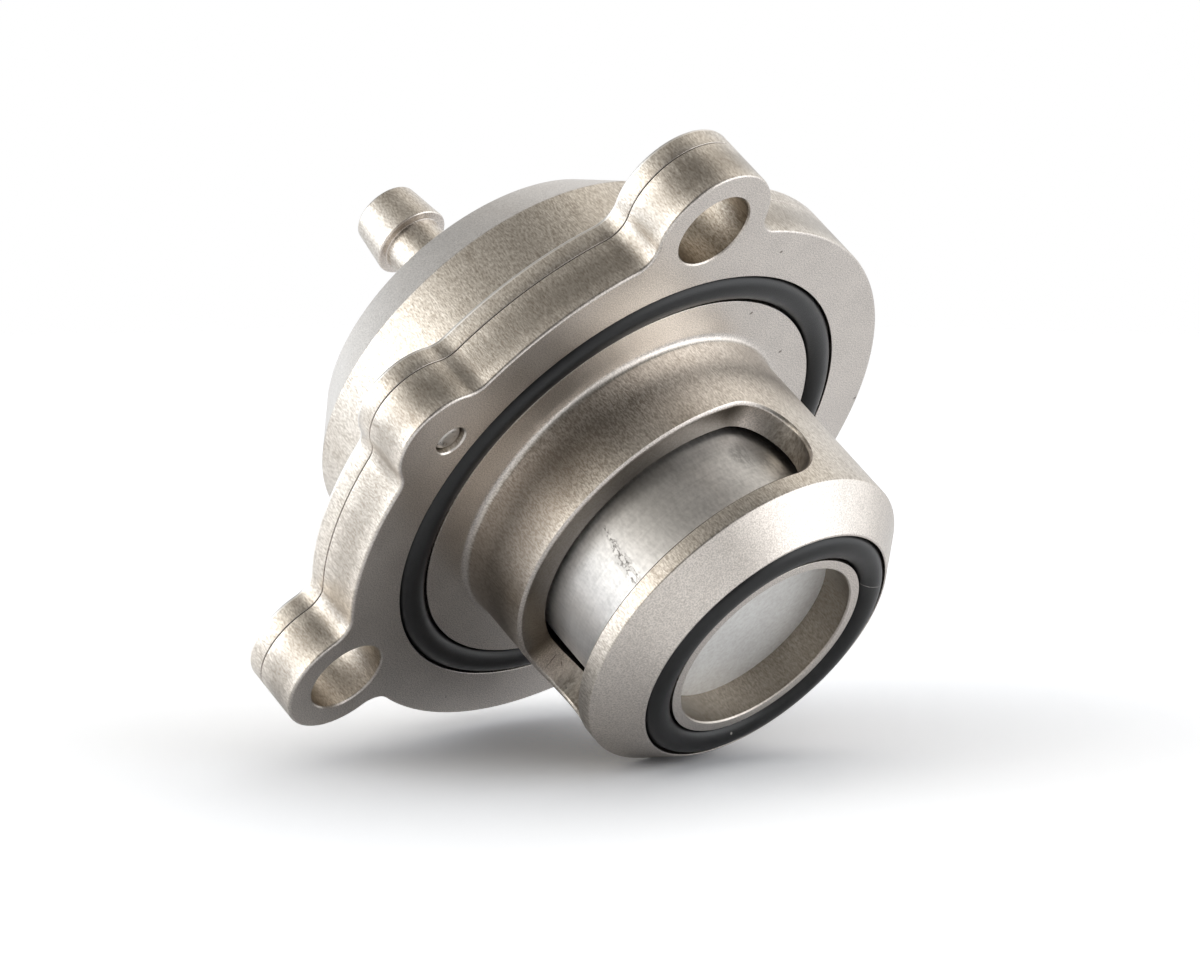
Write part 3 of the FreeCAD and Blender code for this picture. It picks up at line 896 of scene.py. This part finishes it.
class VALVE_OT_body(bpy.types.Operator):
    """Builds the body: flange with ears, barrel with side window, nose and inlet"""

    bl_idname = "valve.body"
    bl_label = "Valve body"

    def execute(self, context):
        s = sizes()
        nose_z = -s.nose_length
        bevel_z = nose_z + s.bevel_h
        seat_z = nose_z + s.seat_t
        body = flange_plate(s, "valve_body_shell", 0.0, s.flange_t, s.flange_t)
        barrel = [(0.0, 2.0), (0.0, nose_z), (s.nose_r, nose_z, 0.12), (s.barrel_r, bevel_z, 0.25)]
        barrel += [(s.barrel_r, 0.0, s.foot_fillet), (s.barrel_r + s.foot_fillet * 2.0, 0.0)]
        barrel += [(s.barrel_r + s.foot_fillet * 2.0, 2.0)]
        fuse(body, turned("barrel", barrel))
        counter_r = s.spigot_r + s.spigot_gap
        counter_z = s.spigot_end_z - s.spigot_gap
        lip = s.edge_break
        mouth = s.hole_break
        bore = [(0.0, nose_z - OVER), (s.inlet_r + mouth + OVER, nose_z - OVER)]
        bore += [(s.inlet_r, nose_z + mouth, 0.1), (s.inlet_r, seat_z), (s.bore_r, seat_z, 0.1)]
        bore += [(s.bore_r, counter_z, 0.1), (counter_r, counter_z, 0.1), (counter_r, s.flange_t - lip)]
        bore += [(counter_r + lip, s.flange_t), (counter_r + lip, s.flange_t + OVER)]
        bore += [(0.0, s.flange_t + OVER)]
        cut(body, turned("bore", bore))
        cutters = [groove(s, s.flange_ring_mid_r, 0.0), groove(s, s.nose_ring_mid_r, nose_z)]
        cutters.append(window_cutter(s))
        cutters += drills(s, 0.0, s.flange_t, s.hole_break, s.seam_break)
        tapped = drill(s.screw_core_r, 0.0, s.flange_t, s.hole_break, s.seam_break, TAPPED_STEPS)
        cutters.append(moved(tapped, *polar(s.screw_circle_r, s.screw_angle)))
        cut(body, joined(cutters))
        finished(body, "body_casting", "housing", "housing_metal", "valve_body")
        return {"FINISHED"}


class VALVE_OT_cap(bpy.types.Operator):
    """Builds the rear cap with its spigot, spring chamber and countersunk screw seat"""

    bl_idname = "valve.cap"
    bl_label = "Rear cap"

    def execute(self, context):
        s = sizes()
        front = s.flange_t
        back = s.flange_t + s.cap_flange_t
        cap = flange_plate(s, "cap_shell", front, back, front)
        outside = [(0.0, s.spigot_end_z), (s.spigot_r, s.spigot_end_z, 0.15)]
        outside += [(s.spigot_r, front + 0.8), (s.cap_r + 0.3, front + 0.8), (s.cap_r + 0.3, back)]
        outside += [(s.cap_r, back, 0.25), (s.cap_r, s.cap_shoulder_z, 0.3)]
        outside += [(s.cap_back_r, s.cap_back_z, 0.3), (0.0, s.cap_back_z)]
        fuse(cap, turned("cap_outside", outside))
        lead = s.edge_break
        bore = [(0.0, s.spigot_end_z - OVER), (s.bore_r + lead + OVER, s.spigot_end_z - OVER)]
        bore += [(s.bore_r, s.spigot_end_z + lead, 0.1), (s.bore_r, s.cap_inner_z, 0.4)]
        bore += [(0.0, s.cap_inner_z)]
        cut(cap, turned("chamber", bore))
        ring = [(s.cap_ring_in_r, front - OVER), (s.cap_ring_out_r, front - OVER)]
        root = front + s.cap_ring_depth
        ring += [(s.cap_ring_out_r, root, 0.1), (s.cap_ring_in_r, root, 0.1)]
        cutters = [turned("cap_groove", ring)]
        cutters.append(drill(s.neck_r, s.cap_inner_z, s.cap_back_z, 0.1, 0.15))
        cutters += drills(s, front, back, s.seam_break, s.hole_break)
        sink = [(0.0, front - OVER), (s.screw_r + HEAD_ROOM, front - OVER)]
        sink += [(s.screw_r + HEAD_ROOM, front + HEAD_FOOT), (s.screw_head_r + HEAD_ROOM, back - HEAD_RIM)]
        sink += [(s.screw_head_r + HEAD_ROOM, back + OVER), (0.0, back + OVER)]
        cutters.append(moved(turned("sink", sink, HOLE_STEPS), *polar(s.screw_circle_r, s.screw_angle)))
        cut(cap, joined(cutters))
        finished(cap, "cap_casting", "housing", "housing_metal", "rear_cap")
        return {"FINISHED"}


class VALVE_OT_nipple(bpy.types.Operator):
    """Turns the barbed hose nipple"""

    bl_idname = "valve.nipple"
    bl_label = "Hose nipple"

    def execute(self, context):
        s = sizes()
        under = s.barb_z - 0.12
        outline = [(s.nipple_bore_r, s.cap_inner_z, 0.1), (s.neck_r, s.cap_inner_z, 0.1)]
        outline += [(s.neck_r, under, 0.1), (s.barb_r - 0.1, under, 0.05), (s.barb_r, s.barb_z, 0.08)]
        outline += [(s.tip_r, s.tip_z, 0.25), (s.nipple_bore_r, s.tip_z, 0.25)]
        piece = turned("nipple", outline, NIPPLE_STEPS)
        finished(piece, "hose_nipple", "housing", "housing_metal", "vacuum_nipple")
        return {"FINISHED"}


def ring(name, mid_r, section, z, low=None, high=None):
    """A moulded ring, pressed flat where its groove squeezes it."""
    nothing_selected()
    bpy.ops.mesh.primitive_torus_add(
        major_segments=TURNED_STEPS, minor_segments=SECTION_STEPS,
        major_radius=mid_r, minor_radius=section / 2.0, location=(0, 0, z),
    )
    piece = bpy.context.active_object
    bpy.ops.object.transform_apply(location=True)
    if low is not None:
        for vertex in piece.data.vertices:
            vertex.co.z = max(low, min(high, vertex.co.z))
    piece.name = name
    return piece


class VALVE_OT_rings(bpy.types.Operator):
    """Moulds the rubber rings in the flange, in the nose and under the cap"""

    bl_idname = "valve.rings"
    bl_label = "Seal rings"

    def execute(self, context):
        s = sizes()
        rise = s.ring_section / 2.0 - s.ring_stand_out
        face = ring("face", s.flange_ring_mid_r, s.ring_section, rise)
        finished(face, "flange_ring", "housing", "seal_rubber", "flange_oring")
        nose = ring("nose", s.nose_ring_mid_r, s.ring_section, rise - s.nose_length)
        finished(nose, "nose_ring", "housing", "seal_rubber", "nose_oring")
        middle = (s.cap_ring_in_r + s.cap_ring_out_r) / 2.0
        section = s.cap_ring_out_r - s.cap_ring_in_r - 2.0 * s.ring_side_gap
        low, high = s.flange_t, s.flange_t + s.cap_ring_depth
        inner = ring("cap", middle, section, (low + high) / 2.0, low, high)
        finished(inner, "cap_ring", "housing", "seal_rubber", "cap_oring")
        return {"FINISHED"}


class VALVE_OT_piston(bpy.types.Operator):
    """Turns the piston and moulds its seal ring"""

    bl_idname = "valve.piston"
    bl_label = "Piston"

    def execute(self, context):
        s = sizes()
        seat = -s.nose_length + s.seat_t
        floor = seat + s.piston_face_t
        band_low = s.piston_rear_z - s.band_h
        step = s.band_r - s.skirt_r
        half = s.piston_ring_section / 2.0 + s.ring_side_gap
        low, high = s.piston_ring_z - half, s.piston_ring_z + half
        outline = [(0.0, seat), (s.skirt_r, seat, 0.25), (s.skirt_r, band_low - step, 0.2)]
        outline += [(s.band_r, band_low, 0.2), (s.band_r, low, 0.1), (s.piston_root_r, low, 0.1)]
        outline += [(s.piston_root_r, high, 0.1), (s.band_r, high, 0.1), (s.band_r, s.piston_rear_z, 0.2)]
        outline += [(s.piston_inside_r, s.piston_rear_z, 0.2), (s.piston_inside_r, floor, 0.6), (0.0, floor)]
        piece = turned("cup", outline)
        finished(piece, "piston_cup", "piston", "piston_metal", "piston")
        seal = ring("seal", s.piston_ring_mid_r, s.piston_ring_section, s.piston_ring_z)
        finished(seal, "piston_ring", "piston", "seal_rubber", "piston_seal")
        return {"FINISHED"}


class VALVE_OT_spring(bpy.types.Operator):
    """Winds the coil spring and grinds its ends flat"""

    bl_idname = "valve.spring"
    bl_label = "Spring"

    def execute(self, context):
        s = sizes()
        low = -s.nose_length + s.seat_t + s.piston_face_t + s.spring_gap
        high = s.cap_inner_z
        pitch = (high - low) / s.spring_turns
        coil = circle("coil", WIRE_STEPS)
        for index, vertex in enumerate(coil.data.vertices):
            x, z = polar(s.spring_wire / 2.0, FULL_TURN * index / WIRE_STEPS)
            vertex.co = (s.spring_mid_r + x, 0.0, low - pitch / 2.0 + z)
        only(coil)
        wind = coil.modifiers.new("wind", "SCREW")
        wind.steps = COIL_STEPS
        wind.render_steps = COIL_STEPS
        wind.iterations = s.spring_turns + 1
        wind.screw_offset = pitch
        wind.use_normal_calculate = True
        bpy.ops.object.modifier_apply(modifier=wind.name)
        edit(coil)
        for height, side in ((low, "clear_inner"), (high, "clear_outer")):
            bpy.ops.mesh.bisect(plane_co=(0, 0, height), plane_no=(0, 0, 1), use_fill=True, **{side: True})
            bpy.ops.mesh.select_all(action="SELECT")
        bpy.ops.mesh.normals_make_consistent(inside=False)
        done()
        piece = finished(coil, "coil_spring", "housing", "spring_steel", "spring")
        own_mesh(piece)
        return {"FINISHED"}


class VALVE_OT_screw(bpy.types.Operator):
    """Makes the countersunk socket screw that keeps cap and body together"""

    bl_idname = "valve.screw"
    bl_label = "Retaining screw"

    def execute(self, context):
        s = sizes()
        top = s.flange_t + s.cap_flange_t
        tip = s.screw_tip_depth
        core = s.screw_core_r - 0.1
        outline = [(0.0, top), (s.screw_head_r, top, 0.08), (s.screw_head_r, top - HEAD_RIM, 0.05)]
        outline += [(s.screw_r, s.flange_t + HEAD_FOOT, 0.05), (s.screw_r, s.flange_t), (core, s.flange_t)]
        outline += [(core, tip + 0.35, 0.3), (core * 0.62, tip + 0.05, 0.5), (0.0, tip)]
        piece = turned("screw", outline, HOLE_STEPS)
        nothing_selected()
        bpy.ops.mesh.primitive_cylinder_add(
            vertices=6, radius=s.hex_af / math.sqrt(3.0), depth=2.0 * s.hex_depth, location=(0, 0, top)
        )
        socket = bpy.context.active_object
        bpy.ops.object.transform_apply(location=True)
        cut(piece, socket)
        moved(piece, *polar(s.screw_circle_r, s.screw_angle))
        finished(piece, "retaining_screw", "housing", "screw_steel", "cap_screw")
        return {"FINISHED"}


# The camera: its right, up and back directions, its place in metres and its sensor in millimetres.
RIGHT = Vector((0.613038, 0.534665, -0.581651))
UP = Vector((0.736417, -0.120065, 0.665789))
BACK = Vector((0.286138, -0.836491, -0.467341))
CAMERA_PLACE = Vector((0.103298, -0.305639, -0.169437))
SENSOR_WIDTH = 36.0


def studio(azimuth, elevation):
    """Direction in the studio: azimuth 0 is towards the camera, 90 its right; elevation 90 is up."""
    a, e = math.radians(azimuth), math.radians(elevation)
    return RIGHT * (math.sin(a) * math.cos(e)) + UP * math.sin(e) + BACK * (math.cos(a) * math.cos(e))


NEUTRAL = (1.0, 1.0, 1.0)
COOL = (0.95, 1.0, 1.05)
WARM = (1.06, 1.0, 0.9)
DIM_WALLS = 0.08

# What the metal mirrors between the dim walls: what each pale thing is, its azimuth and elevation in the
# studio, how tight it is, its strength and its tint.
GLOWS = (
    ("left soft box", -92.0, 8.0, 9.0, 2.6, COOL),
    ("left soft box's edge", -57.0, 10.0, 11.0, 1.6, WARM),
    ("pale table on the left", -108.0, -16.0, 11.0, 0.6, NEUTRAL),
    ("left rear wall", -150.0, 6.0, 11.0, 1.0, COOL),
    ("right soft box", 62.0, 6.0, 11.0, 1.9, NEUTRAL),
    ("right soft box's middle", 88.0, 14.0, 11.0, 1.55, COOL),
    ("right soft box's edge", 120.0, 6.0, 11.0, 0.95, NEUTRAL),
    ("upper right fill", 120.0, 62.0, 11.0, 0.85, WARM),
    ("upper left fill", -60.0, 62.0, 11.0, 0.42, WARM),
    ("backdrop", 166.0, 26.0, 7.0, 0.88, NEUTRAL),
)


# Painted pools of light and painted shadows on the floor, as the metal mirrors it: how far each lies left and
# ahead of the floor's middle, where it begins to fade and where it ends, all in metres, and how bright it is.
FLOOR_LIGHT_AND_SHADOW = (
    (0.072, 0.024, 0.02, 0.065, 1.65),
    (-0.04, 0.10, 0.03, 0.1, 1.2),
    (0.024, 0.024, 0.006, 0.018, 0.6),
    (-0.004, 0.036, 0.002, 0.012, 0.75),
)


# The camera looks down on the floor by this much. The floor's middle lies this far behind the valve's foot,
# and the floor fades out between these shares of its radius.
LOOKS_DOWN = math.radians(8.0)
FLOOR_BEHIND = 0.02
FLOOR_FADE = (0.22, 0.98)


class VALVE_OT_stage(bpy.types.Operator):
    """Sets the floor, the soft lights, the white background and the camera"""

    bl_idname = "valve.stage"
    bl_label = "Stage"

    def execute(self, context):
        s = sizes()
        stage = context.scene.valve_stage
        normal = UP * math.cos(LOOKS_DOWN) + BACK * math.sin(LOOKS_DOWN)
        rim_z = (-s.nose_length + s.bevel_h) / MM
        rim_r = s.barrel_r / MM
        flat = math.hypot(normal.x, normal.y)
        foot = Vector((-normal.x / flat * rim_r, -normal.y / flat * rim_r, rim_z))
        self.floor(stage, normal, foot)
        self.world(context)
        bpy.ops.object.camera_add(location=CAMERA_PLACE)
        camera = context.active_object
        camera.name = "camera"
        camera.data.lens = stage.lens
        camera.data.sensor_width = SENSOR_WIDTH
        camera.data.clip_start = 0.01
        camera.data.clip_end = 10.0
        camera.rotation_mode = "QUATERNION"
        camera.rotation_quaternion = Matrix((RIGHT, UP, BACK)).transposed().to_quaternion()
        context.scene.camera = camera
        context.scene.view_settings.view_transform = "Standard"
        return {"FINISHED"}

    def floor(self, stage, normal, foot):
        """A round patch of pale floor that fades out, and is seen from above only, with a painted shadow near
        the valve.
        """
        nothing_selected()
        bpy.ops.mesh.primitive_circle_add(vertices=HOLE_STEPS, radius=stage.floor_r, fill_type="NGON")
        floor = bpy.context.active_object
        floor.name = "floor"
        ahead = (BACK - normal * BACK.dot(normal)).normalized()
        aside = ahead.cross(normal)
        turn = Matrix((aside, ahead, normal)).transposed().to_4x4()
        middle = normal * foot.dot(normal) - ahead * FLOOR_BEHIND
        floor.data.transform(Matrix.Translation(middle) @ turn)
        floor.data.update()

        mix = Recipe(bpy.data.materials.new("pale_floor"))

        def lit(level):
            return (*(channel * level for channel in stage.floor_colour), 1.0)

        def distance(point):
            return mix.vector("DISTANCE", mix.place, point)

        black = (0.0, 0.0, 0.0, 1.0)
        # Ambient occlusion darkens the floor's colour near the valve: a painted shadow as the camera sees it
        # and, deeper, as the metal mirrors it.
        shut_in = mix.nodes.new("ShaderNodeAmbientOcclusion")
        shut_in.samples = 4
        open_sky = mix.fill(shut_in, Distance=stage.shadow_reach)["AO"]
        speckled = mix.noise(1500.0, 2.0, 0.6)
        shown = mix.blend(speckled, lit(stage.floor_gain * 0.95), lit(stage.floor_gain * 1.05))
        shown = mix.blend(mix.plus(0.55, open_sky, 0.45), black, shown)
        mirrored = mix.blend(mix.plus(0.42, open_sky, 0.58), black, lit(stage.floor_mirrored))
        # The painted pools of light and painted shadows, in the metal's mirror only.
        for left, front, begin, end, bright in FLOOR_LIGHT_AND_SHADOW:
            patch = mix.remap(distance(middle + aside * left + ahead * front), begin, end, bright, 1.0)
            mirrored = mix.vector("SCALE", mirrored, patch)
        ray = mix.new("LightPath")
        colour = mix.blend(ray["Is Glossy Ray"], lit(1.0), mirrored)
        colour = mix.blend(ray["Is Camera Ray"], colour, shown)
        begin, end = (stage.floor_r * share for share in FLOOR_FADE)
        below = mix.new("NewGeometry")["Backfacing"]
        hidden = mix.reckon("MAXIMUM", mix.remap(distance(middle), begin, end), below)
        surface = mix.nodes.new("ShaderNodeMixShader")
        shaders = (mix.new("BsdfDiffuse", Color=colour)[0], mix.new("BsdfTransparent")[0])
        for socket, value in zip(surface.inputs, (hidden, *shaders)):
            mix.feed(socket, value)
        mix.fill(mix.nodes["Material Output"], Surface=surface.outputs[0])
        mix.nodes.remove(mix.shader)
        floor.data.materials.append(mix.holder)

    def world(self, context):
        """White background for the camera. The metal mirrors soft boxes, a pale backdrop and dim walls."""
        sky = Recipe(bpy.data.worlds.new("studio"), "Generated")
        context.scene.world = sky.holder
        total = (DIM_WALLS,) * 3
        for _, azimuth, elevation, tightness, strength, tint in GLOWS:
            facing = sky.vector("DOT_PRODUCT", sky.place, studio(azimuth, elevation))
            falloff = sky.reckon("EXPONENT", sky.plus(-tightness, facing, tightness))
            total = sky.vector("MULTIPLY_ADD", [strength * channel for channel in tint], falloff, total)
        seen = sky.new("LightPath")["Is Camera Ray"]
        colour = sky.blend(seen, total, (1.0, 1.0, 1.0, 1.0))
        sky.fill(sky.nodes["Background"], Color=colour, Strength=1.0)


class VALVE_PT_panel(bpy.types.Panel):
    """Lists the valve's sizes, finishes and building steps"""

    bl_label = "Blow-off valve"
    bl_space_type = "VIEW_3D"
    bl_region_type = "UI"
    bl_category = "Valve"

    def draw(self, context):
        for step in STEPS:
            self.layout.operator(step.bl_idname)
        for group in (context.scene.valve_sizes, context.scene.valve_finish, context.scene.valve_stage):
            column = self.layout.column()
            for name in group.bl_rna.properties.keys():
                if name not in ("rna_type", "name"):
                    column.prop(group, name)


GROUPS = {"valve_sizes": ValveSizes, "valve_finish": ValveFinish, "valve_stage": StageSettings}
STEPS = (
    VALVE_OT_stage,
    VALVE_OT_body,
    VALVE_OT_cap,
    VALVE_OT_nipple,
    VALVE_OT_rings,
    VALVE_OT_piston,
    VALVE_OT_spring,
    VALVE_OT_screw,
)


def register():
    for group in (*GROUPS.values(), *STEPS, VALVE_PT_panel):
        bpy.utils.register_class(group)
    for name, group in GROUPS.items():
        setattr(bpy.types.Scene, name, PointerProperty(type=group))


def unregister():
    for name in GROUPS:
        delattr(bpy.types.Scene, name)
    for group in (VALVE_PT_panel, *reversed(STEPS), *reversed(list(GROUPS.values()))):
        bpy.utils.unregister_class(group)


def main():
    register()
    for step in STEPS:
        area, name = step.bl_idname.split(".")
        getattr(getattr(bpy.ops, area), name)()


if __name__ == "__main__":
    main()
